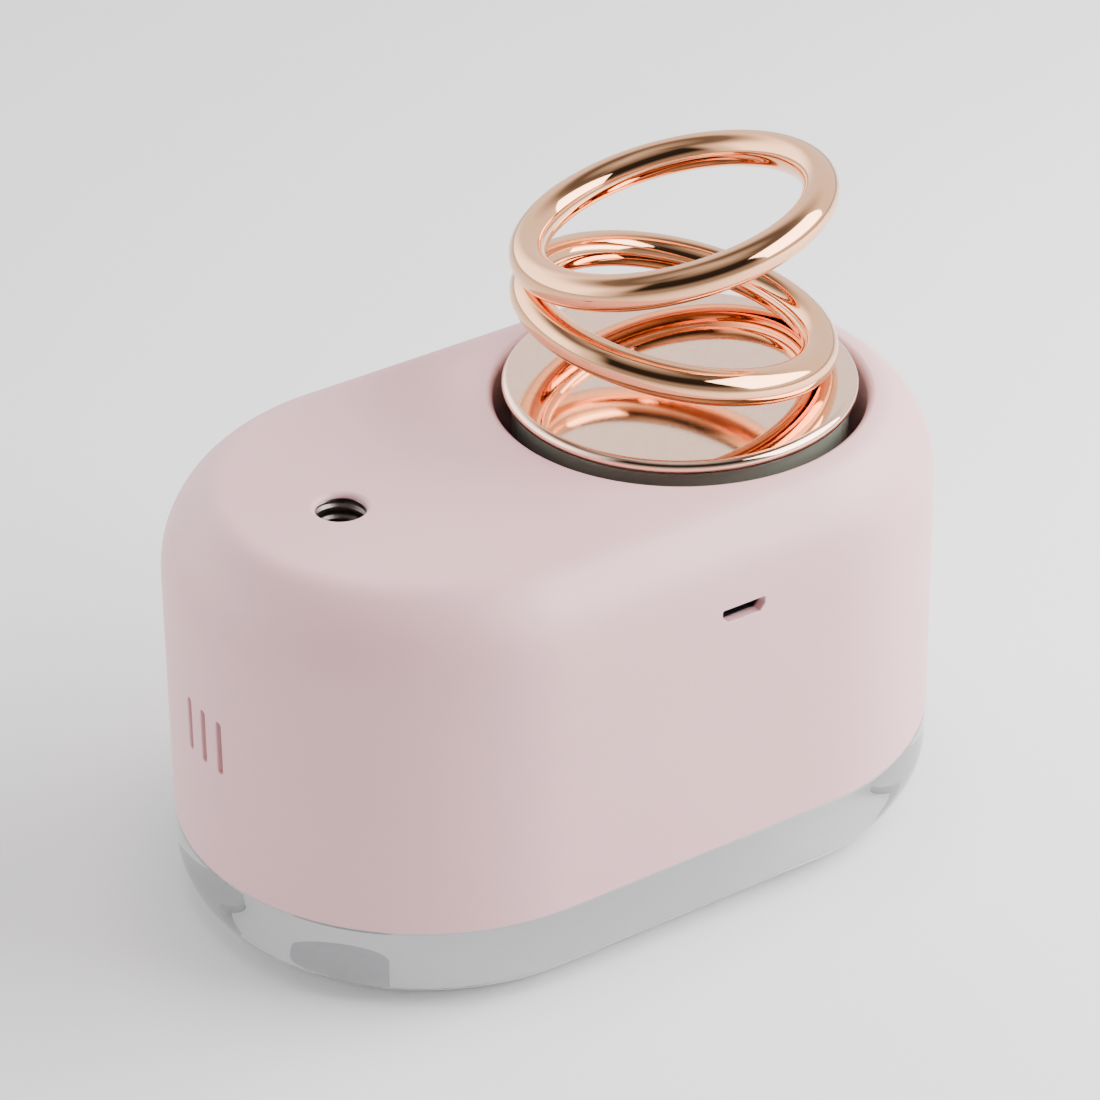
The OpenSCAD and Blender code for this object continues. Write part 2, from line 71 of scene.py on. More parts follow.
# Body
SHELL_LOW, SHELL_HIGH = box_mm("shell")
END_R = (SHELL_HIGH.y - SHELL_LOW.y) / 2
END_X = SHELL_HIGH.x - END_R
SHELL_TOP = SHELL_HIGH.z
JOINT_Z = SHELL_LOW.z
WALL = 2.4
TOP_WALL = 2.6
INNER_R = END_R - WALL
# Shoulders between wall and top, as corner() takes them
TOP_ROUND = (10.0, 14.0, 6.0)
INNER_ROUND = (8, 12, 4)
# Rounding of the two rims that meet at the joint
RIM = 0.3

# Well
WELL_AT = (END_X, 0)
WELL_R = 29.2
WELL_LIP = 1.4
WELL_CUT_DEPTH = 10
WELL_FLOOR = 35.5

# Nozzle
NOZZLE = middle("nozzle_insert")
NOZZLE_AT = (NOZZLE.x, NOZZLE.y)
INSERT_LOW, INSERT_HIGH = box_mm("nozzle_insert")
INSERT_R = 5.1
SEAT_R = 8
BORE_R = 3.8
THROAT_R = 3.9
NOZZLE_LIP = 0.9
THREAD_PITCH = 2.0
THREAD_DEPTH = 0.45

# Charging slot, button and vents
SLOT = middle("usb_socket")
SLOT_SIZE = (7.8, 2.3)
SLOT_BEVEL = 1
SLOT_WALL = 1.5
POCKET_HALF = (4.7, 2.1)
POCKET_DEPTH = 3.4
BUTTON = middle("power_button")
BUTTON_R = 4.6
BUTTON_GAP = 0.3
VENT_Z = 38.5
VENT_STEP = 6
VENT_HALF_WIDTH = 0.6
VENT_HALF_LENGTH = 4
CUT_DEPTH = 4

# Clear base and feet
BASE_BOTTOM = box_mm("clear_base")[0].z
BASE_ROUND = (5, 8, 3)
BASE_GAP = 0.03
LAMP_POCKET_R = END_R - 7
LAMP_POCKET_FLOOR = 10.9
FILM_THICKNESS = 0.3
FOOT_R = 7.2
FOOT_TOP = 2.0
FEET_AT = [(sx * 47.6, sy * 13.1) for sx in (-1, 1) for sy in (-1, 1)]

# Rings: tilt and direction of the lowest point, in degrees
RING_R = 23.25
RING_TUBE = 2.9
RING_TILTS = {"lower_ring": (12.8, -19.0), "upper_ring": (13.9, 136.0)}

# ---------------------------------------------------------------- mesh helpers


def new_object(name, verts, faces):
    """A mesh object from points in millimetres."""
    mesh = bpy.data.meshes.new(name)
    mesh.from_pydata([tuple(c * MM for c in v) for v in verts], [], faces)
    mesh.validate()
    obj = bpy.data.objects.new(name, mesh)
    bpy.context.scene.collection.objects.link(obj)
    fix_normals(obj)
    mesh.polygons.foreach_set("use_smooth", [True] * len(mesh.polygons))
    return obj


def fix_normals(obj):
    bm = bmesh.new()
    bm.from_mesh(obj.data)
    bmesh.ops.remove_doubles(bm, verts=bm.verts, dist=1e-7)
    bmesh.ops.recalc_face_normals(bm, faces=bm.faces)
    bm.to_mesh(obj.data)
    bm.free()


def corner(a, b, r, steps):
    """Corner of two arcs from the wall at (a, 0) to the flat at (0, b), with radius r next to the flat."""
    wide = (a * a + b * b - 2 * b * r) / (2 * (a - r))
    split = math.atan2(b - r, wide - a)
    lower = [(a - wide + wide * math.cos(split * i / steps), wide * math.sin(split * i / steps))
             for i in range(steps + 1)]
    turn = [split + (math.pi / 2 - split) * i / steps for i in range(1, steps + 1)]
    return lower + [(r * math.cos(t), b - r + r * math.sin(t)) for t in turn]


def rounded(points, steps):
    """A path of (x, y, radius) corners as plain points, each corner turned by an arc of its radius."""
    path = []
    last = len(points) - 1
    for i, (x, y, radius) in enumerate(points):
        if radius <= 0 or i in (0, last):
            path.append((x, y))
            continue
        here = Vector((x, y))
        before = (Vector(points[i - 1][:2]) - here).normalized()
        after = (Vector(points[i + 1][:2]) - here).normalized()
        half = before.angle(after) / 2
        reach = radius / math.tan(half)
        centre = here + (before + after).normalized() * (radius / math.sin(half))
        first = here + before * reach - centre
        final = here + after * reach - centre
        angle = first.angle(final)
        sine = math.sin(angle)
        for k in range(steps + 1):
            t = k / steps
            spoke = first * (math.sin((1 - t) * angle) / sine) + final * (math.sin(t * angle) / sine)
            path.append(tuple(centre + spoke))
    return path


def arc(cx, cz, radius, start, end, steps):
    """Points of an arc, with angles in degrees."""
    turn = [math.radians(start + (end - start) * i / steps) for i in range(steps + 1)]
    return [(cx + radius * math.cos(t), cz + radius * math.sin(t)) for t in turn]


def swept(name, loops, closed):
    """Quads between successive loops of equal length, with flat caps when the sweep isn't closed."""
    verts, faces = [], []
    count = len(loops[0])
    for loop in loops:
        verts += loop
    rows = len(loops)
    for j in range(rows if closed else rows - 1):
        k = (j + 1) % rows
        for i in range(count):
            n = (i + 1) % count
            faces.append((j * count + i, j * count + n, k * count + n, k * count + i))
    if not closed:
        faces.append(tuple(range(count - 1, -1, -1)))
        faces.append(tuple((rows - 1) * count + i for i in range(count)))
    return new_object(name, verts, faces)


def lathe(name, profile, centre=(0, 0), segments=192, closed=False):
    """A turned piece: profile of (radius, z) around the vertical axis through centre."""
    verts, faces, rows = [], [], []
    for r, z in profile:
        if r < 1e-6:
            rows.append([len(verts)])
            verts.append((centre[0], centre[1], z))
        else:
            rows.append(list(range(len(verts), len(verts) + segments)))
            for i in range(segments):
                t = 2 * math.pi * i / segments
                verts.append((centre[0] + r * math.cos(t), centre[1] + r * math.sin(t), z))
    pairs = list(zip(rows, rows[1:])) + ([(rows[-1], rows[0])] if closed else [])
    for low, high in pairs:
        for i in range(segments):
            n = (i + 1) % segments
            if len(low) == 1 and len(high) == 1:
                break
            if len(low) == 1:
                faces.append((low[0], high[n], high[i]))
            elif len(high) == 1:
                faces.append((low[i], low[n], high[0]))
            else:
                faces.append((low[i], low[n], high[n], high[i]))
    return new_object(name, verts, faces)


def cylinder(name, radius, low, high, centre, segments=192):
    """A plain upright cylinder, for cuts and bosses."""
    return lathe(name, [(0, low), (radius, low), (radius, high), (0, high)], centre, segments)


def pill_loop(radius, z):
    """Points once round a pill outline at one height."""
    arc_steps, side_steps = 72, 12
    points = []
    for side in (1, -1):
        for i in range(arc_steps + 1):
            t = math.radians(-90 + 180 * i / arc_steps) + (0 if side > 0 else math.pi)
            points.append((side * END_X + radius * math.cos(t), radius * math.sin(t), z))
        for i in range(1, side_steps):
            x = side * END_X * (1 - 2 * i / side_steps)
            points.append((x, side * radius, z))
    return points


def pill(name, profile):
    """A pill-shaped piece whose half section, from one cap to the other, is profile."""
    return swept(name, [pill_loop(r, z) for r, z in profile], closed=False)


def cut(target, *tools, how="DIFFERENCE"):
    """Boolean of target with each tool; the tools are used up."""
    for tool in tools:
        modifier = target.modifiers.new("cut", "BOOLEAN")
        modifier.operation = how
        modifier.solver = "EXACT"
        modifier.object = tool
        bpy.context.view_layer.update()
        shape = target.evaluated_get(bpy.context.evaluated_depsgraph_get())
        mesh = bpy.data.meshes.new_from_object(shape)
        target.modifiers.clear()
        old = target.data
        target.data = mesh
        bpy.data.meshes.remove(old)
        used = tool.data
        bpy.data.objects.remove(tool)
        bpy.data.meshes.remove(used)
    return target


def finish_shading(obj, angle=32):
    """Smooth shading with sharp edges kept, and flat faces that stay flat."""
    mesh = obj.data
    mesh.polygons.foreach_set("use_smooth", [True] * len(mesh.polygons))
    mesh.set_sharp_from_angle(angle=math.radians(angle))
    modifier = obj.modifiers.new("weighted_normals", "WEIGHTED_NORMAL")
    modifier.keep_sharp = True
    modifier.weight = 80
    return obj


def prism(name, outline, layers, place):
    """A prism over a flat outline.

    Each layer is (height, growth of the outline), and place turns (u, v, height) into a point.
    """
    centre = Vector((sum(p[0] for p in outline), sum(p[1] for p in outline))) / len(outline)
    loops = []
    count = len(outline)
    for height, grow in layers:
        loop = []
        for i in range(count):
            here = Vector(outline[i])
            before = (here - Vector(outline[i - 1])).normalized()
            after = (Vector(outline[(i + 1) % count]) - here).normalized()
            normal = Vector((before.y + after.y, -before.x - after.x))
            if normal.length < 1e-6:
                normal = here - centre
            normal.normalize()
            stretch = 1 / max(0.5, normal.dot(Vector((after.y, -after.x))))
            p = here + normal * grow * stretch
            loop.append(place(p.x, p.y, height))
        loops.append(loop)
    return swept(name, loops, closed=False)


def torus(name, centre, radius, tube, tilt, direction):
    """A round ring, tilted so that its lowest point lies towards direction."""
    around, across = 320, 64
    turn = Matrix.Rotation(math.radians(direction), 3, "Z") @ Matrix.Rotation(math.radians(tilt), 3, "Y")
    loops = []
    for i in range(around):
        a = 2 * math.pi * i / around
        loop = []
        for j in range(across):
            b = 2 * math.pi * j / across
            r = radius + tube * math.cos(b)
            p = turn @ Vector((r * math.cos(a), r * math.sin(a), tube * math.sin(b)))
            loop.append(tuple(p + centre))
        loops.append(loop)
    return swept(name, loops, closed=True)


# ---------------------------------------------------------------- material helpers


class Nodes:
    """Short ways to build one node material."""

    def __init__(self, name):
        self.material = bpy.data.materials.new(name)
        self.material.use_nodes = True
        self.tree = self.material.node_tree
        self.shader = self.tree.nodes["Principled BSDF"]
        self.coords = self.tree.nodes.new("ShaderNodeTexCoord")

    def set(self, **values):
        for key, value in values.items():
            self.shader.inputs[key.replace("_", " ")].default_value = value
        return self

    def link(self, source, target):
        self.tree.links.new(source, target)

    def scaled(self, scale):
        """Object coordinates, stretched by scale along X, Y and Z."""
        mapping = self.tree.nodes.new("ShaderNodeMapping")
        mapping.inputs["Scale"].default_value = scale
        self.link(self.coords.outputs["Object"], mapping.inputs["Vector"])
        return mapping.outputs["Vector"]

    def noise(self, scale, detail=3.0, roughness=0.5, stretch=None):
        node = self.tree.nodes.new("ShaderNodeTexNoise")
        node.inputs["Scale"].default_value = scale
        node.inputs["Detail"].default_value = detail
        node.inputs["Roughness"].default_value = roughness
        vector = self.scaled(stretch) if stretch else self.coords.outputs["Object"]
        self.link(vector, node.inputs["Vector"])
        return node.outputs["Fac"]

    def ramp(self, source, stops):
        """Colour ramp with (position, colour) stops."""
        node = self.tree.nodes.new("ShaderNodeValToRGB")
        elements = node.color_ramp.elements
        while len(elements) < len(stops):
            elements.new(0.5)
        for element, (position, colour) in zip(elements, stops):
            element.position = position
            element.color = (*colour, 1)
        self.link(source, node.inputs["Fac"])
        return node.outputs["Color"]

    def spread(self, source, low, high, to_low, to_high):
        node = self.tree.nodes.new("ShaderNodeMapRange")
        for key, value in (("From Min", low), ("From Max", high), ("To Min", to_low), ("To Max", to_high)):
            node.inputs[key].default_value = value
        self.link(source, node.inputs["Value"])
        return node.outputs["Result"]

    def colour(self, source):
        self.link(source, self.shader.inputs["Base Color"])
        return self

    def roughness(self, source):
        self.link(source, self.shader.inputs["Roughness"])
        return self

    def bump(self, source, distance, strength=1.0):
        """Surface relief of the given depth in metres."""
        node = self.tree.nodes.new("ShaderNodeBump")
        node.inputs["Distance"].default_value = distance
        node.inputs["Strength"].default_value = strength
        self.link(source, node.inputs["Height"])
        self.link(node.outputs["Normal"], self.shader.inputs["Normal"])
        return self


def moulded(name, colour, roughness=0.45, shift=0.03, grain=2500, depth=0.000006, **more):
    """Moulded or sprayed plastic: a fine even grain and a faint drift of colour and gloss."""
    n = Nodes(name)
    dark = [c * (1 - shift) for c in colour]
    light = [min(1, c * (1 + shift)) for c in colour]
    cloud = n.noise(45, 4)
    n.colour(n.ramp(cloud, [(0.3, dark), (0.7, light)]))
    n.roughness(n.spread(n.noise(160, 3), 0.3, 0.7, roughness - 0.03, roughness + 0.03))
    n.bump(n.noise(grain, 2), depth)
    return n.set(**more).material


def metal(name, colour, roughness=0.25, shift=0.04, grain=700, depth=0.000002, stretch=(1, 1, 1), **more):
    """Metal with a drawn or brushed grain."""
    n = Nodes(name)
    dark = [c * (1 - shift) for c in colour]
    light = [min(1, c * (1 + shift)) for c in colour]
    streaks = n.noise(grain, 3, stretch=stretch)
    n.colour(n.ramp(streaks, [(0.3, dark), (0.7, light)]))
    n.roughness(n.spread(n.noise(90, 4), 0.3, 0.7, max(0.02, roughness * 0.8), roughness * 1.25))
    n.bump(streaks, depth)
    return n.set(Metallic=1.0, **more).material


def clear(name, colour, roughness=0.03, ior=1.49, haze=0.02, **more):
    """Clear or tinted solid, with faint waves from moulding."""
    n = Nodes(name)
    n.set(Base_Color=(*colour, 1), IOR=ior, Transmission_Weight=1.0)
    n.roughness(n.spread(n.noise(120, 3), 0.3, 0.7, roughness, roughness + haze))
    n.bump(n.noise(60, 2), 0.00001, 0.4)
    return n.set(**more).material


def soft(name, colour, roughness=0.7, grain=1500, depth=0.00002, shift=0.06, **more):
    """Rubber, silicone, felt or plaster: matt, with a visible grain."""
    n = Nodes(name)
    dark = [c * (1 - shift) for c in colour]
    light = [min(1, c * (1 + shift)) for c in colour]
    grains = n.noise(grain, 4, 0.6)
    n.colour(n.ramp(n.noise(grain / 6, 4), [(0.3, dark), (0.7, light)]))
    n.roughness(n.spread(grains, 0.3, 0.7, roughness - 0.06, min(1, roughness + 0.06)))
    n.bump(grains, depth)
    return n.set(**more).material


def board(name, colour, line):
    """Printed board: solder mask over faint copper lines."""
    n = Nodes(name)
    brick = n.tree.nodes.new("ShaderNodeTexBrick")
    brick.offset = 0.37
    for key, value in (("Color1", colour), ("Color2", [c * 0.93 for c in colour]), ("Mortar", line)):
        brick.inputs[key].default_value = (*value, 1)
    brick.inputs["Scale"].default_value = 1
    brick.inputs["Mortar Size"].default_value = 0.016
    brick.inputs["Brick Width"].default_value = 0.9
    brick.inputs["Row Height"].default_value = 0.24
    n.link(n.scaled((260, 260, 260)), brick.inputs["Vector"])
    n.colour(brick.outputs["Color"])
    n.bump(brick.outputs["Fac"], 0.00002, 0.4)
    return n.set(Roughness=0.35).material


def brushed_disc(name, colour, centre, face_radius):
    """Plated disc: a finely speckled satin face inside a polished rim."""
    n = Nodes(name)
    shift = n.tree.nodes.new("ShaderNodeVectorMath")
    shift.operation = "SUBTRACT"
    n.link(n.coords.outputs["Object"], shift.inputs[0])
    shift.inputs[1].default_value = (centre.x * MM, centre.y * MM, 0)
    flat = n.tree.nodes.new("ShaderNodeVectorMath")
    flat.operation = "MULTIPLY"
    n.link(shift.outputs["Vector"], flat.inputs[0])
    flat.inputs[1].default_value = (1, 1, 0)
    radius = n.tree.nodes.new("ShaderNodeVectorMath")
    radius.operation = "LENGTH"
    n.link(flat.outputs["Vector"], radius.inputs[0])
    distance = radius.outputs["Value"]
    speckle = n.noise(2600, 4, 0.65)
    dark = [c * 0.95 for c in colour]
    light = [min(1, c * 1.04) for c in colour]
    n.colour(n.ramp(n.noise(900, 5, 0.6), [(0.32, dark), (0.68, light)]))
    satin = n.spread(speckle, 0.35, 0.7, 0.035, 0.06)
    edge = n.spread(distance, (face_radius - 0.25) * MM, face_radius * MM, 0, 1)
    mix = n.tree.nodes.new("ShaderNodeMix")
    n.link(edge, mix.inputs[0])
    n.link(satin, mix.inputs[2])
    mix.inputs[3].default_value = 0.035
    n.roughness(mix.outputs[0])
    n.bump(speckle, 0.0000012)
    return n.set(Metallic=1.0).material


# ---------------------------------------------------------------- materials, one for each slot of the record

PINK = (0.80, 0.46, 0.485)
ROSE = (0.92, 0.475, 0.255)
ROSE_DISC = (0.96, 0.63, 0.47)
LOOKS = {
    "pink_shell": moulded("pink_shell", PINK, 0.42, 0.012, 3200, 0.000004),
    "clear_acrylic": clear("clear_acrylic", (0.97, 0.97, 0.98), 0.0, 1.49, 0.015),
    "white_plastic": moulded("white_plastic", (0.80, 0.80, 0.78), 0.4),
    # Painted glow: the diffuser's emission lifts the clear base to a pale grey from inside and fills the
    # floor's shadow next to it
    "frosted_plastic": moulded("frosted_plastic", (0.82, 0.82, 0.84), 0.55, 0.01, 900, 0.00001,
                               Emission_Color=(0.97, 0.98, 1.0, 1), Emission_Strength=0.7),
    "white_film": moulded("white_film", (0.90, 0.90, 0.90), 0.5, 0.01, 700, 0.000004),
    "white_board": board("white_board", (0.75, 0.75, 0.72), (0.62, 0.62, 0.6)),
    "lamp_chips": moulded("lamp_chips", (0.85, 0.72, 0.32), 0.2, 0.02),
    "grey_rubber": soft("grey_rubber", (0.52, 0.52, 0.525), 0.75),
    "plated_steel": metal("plated_steel", (0.55, 0.55, 0.56), 0.22),
    "battery_wrap": moulded("battery_wrap", (0.07, 0.15, 0.32), 0.28, 0.05, 400, 0.00002),
    "green_board": board("green_board", (0.012, 0.09, 0.04), (0.03, 0.16, 0.07)),
    "black_plastic": moulded("black_plastic", (0.012, 0.012, 0.013), 0.38, 0.1),
    "motor_steel": metal("motor_steel", (0.42, 0.42, 0.44), 0.3, stretch=(1, 1, 0.05)),
    "bronze": metal("bronze", (0.47, 0.27, 0.09), 0.38, 0.1, 1800, 0.00001),
    "dark_steel": metal("dark_steel", (0.24, 0.205, 0.19), 0.36, 0.12, 900, 0.000003),
    "atomiser_brass": metal("atomiser_brass", (0.58, 0.38, 0.14), 0.25),
    "clear_silicone": soft("clear_silicone", (0.78, 0.76, 0.72), 0.4, 900, 0.000008, 0.02,
                           Transmission_Weight=0.35, IOR=1.41),
    "tank_plastic": clear("tank_plastic", (0.93, 0.95, 0.97), 0.18, 1.5, 0.06),
    "wick_fibre": soft("wick_fibre", (0.84, 0.82, 0.77), 0.9, 1100, 0.00008),
    "nylon": moulded("nylon", (0.80, 0.76, 0.64), 0.42, 0.02),
    "jar_glass": clear("jar_glass", (0.30, 0.33, 0.27), 0.22, 1.5, 0.03, Transmission_Weight=0.4),
    "scent_plaster": soft("scent_plaster", (0.85, 0.80, 0.72), 0.85, 1300, 0.00006, 0.04),
    "rose_gold_disc": brushed_disc("rose_gold_disc", ROSE_DISC, middle("lid_disc"), 26.6),
    "rose_gold": metal("rose_gold", ROSE, 0.06, 0.01, 500, 0.0000002),
}
SLOT_OF = {p["node"]: p["material_slot"] for p in frame["record"]["subparts"]}
BODY_OF = {node: body for body, members in frame["record"]["behaviour"]["bodies"].items() for node in members}


def dress(obj, slot_name):
    """Gives obj the look of one of the record's material slots."""
    obj.data.materials.clear()
    obj.data.materials.append(LOOKS[slot_name])


def stand_for(obj, *nodes):
    """obj takes the place, body and material of these CAD nodes."""
    dress(obj, SLOT_OF[nodes[0]])
    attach(obj, BODY_OF[nodes[0]])
    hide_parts(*nodes)
    return obj


def turn_mesh(obj, matrix):
    obj.data.transform(matrix)
    fix_normals(obj)
    return obj


# ---------------------------------------------------------------- shell


def cap_curve(radius, top, size, steps=24):
    """Shoulder from the wall at this radius to the flat top."""
    a, b, r = size
    return [(radius - a + x, top - b + z) for x, z in corner(a, b, r, steps)]


def mouth(rho):
    """Layers of a cutter whose mouth is rounded by rho at the surface: (depth below the surface, growth)."""
    outside, steps = 0.8, 6
    layers = [(-outside, rho)]
    for i in range(steps + 1):
        t = math.pi / 2 * i / steps
        layers.append((rho * (1 - math.cos(t)), rho * (1 - math.sin(t))))
    return layers + [(CUT_DEPTH, 0)]


def circle(radius, count=64):
    return [(radius * math.cos(2 * math.pi * i / count), radius * math.sin(2 * math.pi * i / count))
            for i in range(count)]


def stadium(half_width, half_length, steps=12):
    """Outline of an upright slot with round ends; half_length is from the middle to each end's centre."""
    points = []
    for end, start in ((half_length, 0), (-half_length, 180)):
        for i in range(steps + 1):
            a = math.radians(start + 180 * i / steps)
            points.append((half_width * math.cos(a), end + half_width * math.sin(a)))
    return points


def slot_outline():
    """Outline of a micro USB opening, whose lower corners are cut off."""
    half, high = SLOT_SIZE[0] / 2, SLOT_SIZE[1] / 2
    upper = [(half, 0, 0), (half, high, 0.25), (-half, high, 0.25), (-half, 0, 0)]
    lower = [(-half, 0, 0), (-half + SLOT_BEVEL, -high, 0.3), (half - SLOT_BEVEL, -high, 0.3), (half, 0, 0)]
    return rounded(upper, 4) + rounded(lower, 4)[1:-1]


def into_front(at):
    """Places a cutter in the front wall at a point: to the right, up and into the shell."""
    return lambda u, v, depth: (at.x + u, -END_R + depth, at.z + v)


def into_back(at):
    """The same in the back wall."""
    return lambda u, v, depth: (at.x + u, END_R - depth, at.z + v)


def into_end(degrees, z):
    """Places a cutter in the nozzle end's wall, turned by some degrees from its middle."""
    turn = Matrix.Rotation(math.radians(180 + degrees), 3, "Z")
    return lambda u, v, depth: tuple(turn @ Vector((END_R - depth, u, 0)) + Vector((-END_X, 0, z + v)))


def lipped(name, radius, lip, bottom, centre, below=()):
    """Cutter of a round hole whose mouth rolls out to the flat top; below is a wider part under it."""
    above = SHELL_TOP + 2
    below = below or [(radius, bottom)]
    profile = [(0, bottom), *below, (radius, SHELL_TOP - lip)]
    profile += arc(radius + lip, SHELL_TOP - lip, lip, 180, 90, 14)[1:]
    profile += [(radius + lip, above), (0, above)]
    return lathe(name, profile, centre)


def make_shell():
    """The pink casing. Blender's exact cuts leave it closed in this order, the nozzle's bore last."""
    outer = [(END_R - RIM, JOINT_Z)] + arc(END_R - RIM, JOINT_Z + RIM, RIM, -60, 0, 4)
    outer += [(END_R, z) for z in (20, 30, 40, 50)] + cap_curve(END_R, SHELL_TOP, TOP_ROUND)
    inner = [(INNER_R, JOINT_Z - 2)] + cap_curve(INNER_R, SHELL_TOP - TOP_WALL, INNER_ROUND, 8)
    shell = pill("shell_body", outer)
    cut(shell, pill("hollow", inner))
    for i in (-1, 0, 1):
        vent = stadium(VENT_HALF_WIDTH, VENT_HALF_LENGTH)
        cut(shell, prism(f"vent_cut_{i + 1}", vent, mouth(0.25), into_end(VENT_STEP * i, VENT_Z)))
    px, pz = POCKET_HALF
    pocket = [(px, pz), (-px, pz), (-px, -pz), (px, -pz)]
    cut(shell,
        prism("button_cut", circle(BUTTON_R + BUTTON_GAP), mouth(0.4), into_back(BUTTON)),
        prism("slot_cut", slot_outline(), mouth(0.2), into_front(SLOT)),
        prism("slot_pocket", pocket, [(SLOT_WALL, 0), (POCKET_DEPTH, 0)], into_front(SLOT)))
    cut(shell, cylinder("seat", SEAT_R, INSERT_LOW.z, SHELL_TOP - 1, NOZZLE_AT), how="UNION")
    bottom = INSERT_LOW.z - 1
    bore = [(INSERT_R, bottom), (INSERT_R, INSERT_HIGH.z), (THROAT_R, INSERT_HIGH.z)]
    cut(shell,
        lipped("well_cut", WELL_R, WELL_LIP, SHELL_TOP - WELL_CUT_DEPTH, WELL_AT),
        lipped("nozzle_cut", THROAT_R, NOZZLE_LIP, bottom, NOZZLE_AT, below=bore))
    finish_shading(shell)
    stand_for(shell, "shell")


def make_well_liner():
    """The well's cup, with two screw bosses under its floor."""
    top, boss_low = SHELL_TOP - TOP_WALL, box_mm("well_liner")[0].z
    outside, under, fillet, spindle_hole = WELL_R + 1.8, WELL_FLOOR - 2.5, 1.2, 3.5
    profile = [(WELL_R, top), (WELL_R, WELL_FLOOR + fillet)]
    profile += arc(WELL_R - fillet, WELL_FLOOR + fillet, fillet, 0, -90, 6)[1:]
    profile += [(spindle_hole, WELL_FLOOR), (spindle_hole, under), (outside, under)]
    profile += [(outside, top - 0.8), (WELL_R + 1, top)]
    liner = lathe("well_cup", profile, WELL_AT, closed=True)
    for side in (-1, 1):
        boss = cylinder("boss", 3.4, boss_low, WELL_FLOOR - 1, (END_X, side * 27), 48)
        cut(liner, boss, how="UNION")
    finish_shading(liner)
    stand_for(liner, "well_liner")


# ---------------------------------------------------------------- clear base and feet


def make_base():
    """The solid clear slab, with the lamp pocket in its top and seats for the feet."""
    top = JOINT_Z - BASE_GAP
    wide, tall, small = BASE_ROUND
    profile = [(END_R - wide + x, BASE_BOTTOM + tall - z) for x, z in corner(wide, tall, small, 18)][::-1]
    profile += [(END_R, z) for z in (11, 13)] + arc(END_R - RIM, top - RIM, RIM, 0, 60, 4)
    base = pill("base_slab", profile + [(END_R - RIM, top)])
    edge, floor_z = LAMP_POCKET_R, LAMP_POCKET_FLOOR
    cut(base, pill("lamp_pocket", [(edge - 0.3, floor_z), (edge, floor_z + 0.3), (edge, JOINT_Z + 2)]))
    for at in FEET_AT:
        cut(base, cylinder("foot_seat", FOOT_R - 0.01, 0, FOOT_TOP - 0.02, at, 96))
    finish_shading(base)
    stand_for(base, "clear_base")


def make_film():
    """White film under the slab. It and the feet reach a hair into the slab, so that they show as bonded."""
    edge = END_R - 5.1
    film = pill("reflector_film", [(edge, BASE_BOTTOM - FILM_THICKNESS), (edge, BASE_BOTTOM + 0.02)])
    for at in FEET_AT:
        cut(film, cylinder("foot_hole", FOOT_R + 0.1, 0, 1.5, at, 96))
    finish_shading(film)
    stand_for(film, "base_reflector")


def make_feet():
    """Round rubber pads with a shallow hollow under each."""
    edge = 0.6
    profile = [(0, 0.25), (5.0, 0.25), (5.3, 0)] + arc(FOOT_R - edge, edge, edge, -90, 0, 5)
    profile += [(FOOT_R, FOOT_TOP), (0, FOOT_TOP)]
    for i, at in enumerate(FEET_AT):
        foot = lathe(f"rubber_foot_{i}", profile, at, 96)
        finish_shading(foot)
        stand_for(foot, "rubber_feet")


# ---------------------------------------------------------------- nozzle, button


def thread_radius(angle, z):
    """Inner radius of the insert: a rounded helical groove in the bore, and a flare at the top."""
    turns = (z - INSERT_LOW.z) / THREAD_PITCH - angle / (2 * math.pi)
    wave = abs(2 * (turns % 1) - 1)
    groove = min(1, max(0, wave * 1.7 - 0.35))
    fade = min(1, (INSERT_HIGH.z - z) / 0.5)
    return BORE_R + THREAD_DEPTH * groove * groove * (3 - 2 * groove) + 0.35 * max(0, 1 - fade)


def make_insert():
    """The dark threaded metal lining of the nozzle."""
    around, along = 144, 110
    outside = INSERT_R - 0.02
    heights = [INSERT_LOW.z + (INSERT_HIGH.z - INSERT_LOW.z) * k / along for k in range(along + 1)]
    loops = []
    for i in range(around):
        t = 2 * math.pi * i / around
        section = [(thread_radius(t, z), z) for z in heights]
        section += [(outside, INSERT_HIGH.z), (outside, INSERT_LOW.z)]
        loops.append([(NOZZLE.x + r * math.cos(t), NOZZLE.y + r * math.sin(t), z) for r, z in section])
    insert = swept("threaded_insert", loops, closed=True)
    finish_shading(insert, 50)
    stand_for(insert, "nozzle_insert")


def make_button():
    """The power button's cap, turned upright and then laid into the back wall: a flange and a dished face."""
    flange_r, edge, face = 5.6, 0.5, END_R - 0.6
    inside, flange_top = INNER_R - 1.8, INNER_R - 0.6
    profile = [(0, inside), (flange_r, inside), (flange_r, flange_top)]
    profile += [(BUTTON_R, flange_top), (BUTTON_R, face)]
    profile += arc(BUTTON_R - edge, face, edge, 0, 90, 6)[1:]
    profile += [(r, END_R - dish) for r, dish in ((3.6, 0.14), (2.4, 0.3), (1.2, 0.38), (0, 0.4))]
    button = lathe("button_cap", profile, (0, 0), 96)
    place = Matrix.Translation((BUTTON.x * MM, 0, BUTTON.z * MM))
    turn_mesh(button, place @ Matrix.Rotation(math.radians(-90), 4, "X"))
    finish_shading(button)
    stand_for(button, "power_button")


# ---------------------------------------------------------------- turning table, jar and lid


def make_turntable():
    """The dish under the jar."""
    radius, low, _ = round_box("turntable")
    hole, floor_z, rim_z, edge = 2, 38.4, 43.4, 0.6
    profile = [(hole, low), (radius - 0.4, low), (radius, low + 0.4), (radius, 43.3)]
    profile += arc(radius - edge, rim_z, edge, 0, 90, 5) + arc(radius - 0.9, rim_z, edge, 90, 180, 5)
    profile += [(radius - 1.5, floor_z + 0.5), (radius - 2, floor_z), (hole, floor_z)]
    table = lathe("table_dish", profile, WELL_AT, closed=True)
    finish_shading(table)
    stand_for(table, "turntable")


